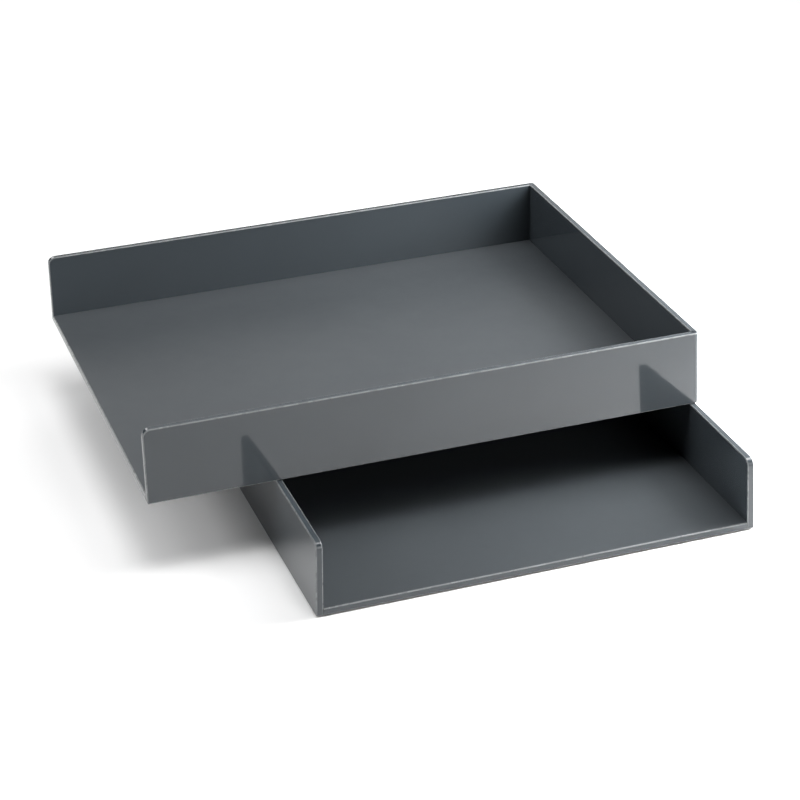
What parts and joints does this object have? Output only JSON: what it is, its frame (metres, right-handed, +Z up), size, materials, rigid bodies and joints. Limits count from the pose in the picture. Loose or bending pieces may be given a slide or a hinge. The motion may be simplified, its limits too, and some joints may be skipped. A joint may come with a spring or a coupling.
{
  "type": "letter tray",
  "caption": "Stacked open-front letter trays with three straight walls each, the upper tray set crosswise on the rims of the lower.",
  "frame": {"origin": "bottom centre of the whole stack, on the plane that the lower tray's foot pads stand on", "axes": "+Z up; the lower tray's open end faces -Y; the upper tray is turned a quarter turn, and its open end faces -X"},
  "size_m": [0.3234, 0.327, 0.0876],
  "materials": {
    "wall_plastic": "polished dark grey moulded plastic",
    "floor_plastic": "satin dark grey moulded plastic",
    "foot_rubber": "matt black non-slip rubber"
  },
  "bodies": {
    "lower_tray": {"lower_floor_panel": "floor_plastic", "lower_left_wall": "wall_plastic", "lower_right_wall": "wall_plastic", "lower_end_wall": "wall_plastic", "lower_foot_mouth_left": "foot_rubber", "lower_foot_mouth_right": "foot_rubber", "lower_foot_end_left": "foot_rubber", "lower_foot_end_right": "foot_rubber"},
    "upper_tray": {"upper_floor_panel": "floor_plastic", "upper_left_wall": "wall_plastic", "upper_right_wall": "wall_plastic", "upper_end_wall": "wall_plastic", "upper_foot_mouth_left": "foot_rubber", "upper_foot_mouth_right": "foot_rubber", "upper_foot_end_left": "foot_rubber", "upper_foot_end_right": "foot_rubber"}
  },
  "joints": [
    {"name": "upper_tray_lift", "type": "slide", "parent": "lower_tray", "child": "upper_tray", "axis": [0, 0, 1], "range_m": [0, 0.09]}
  ]
}
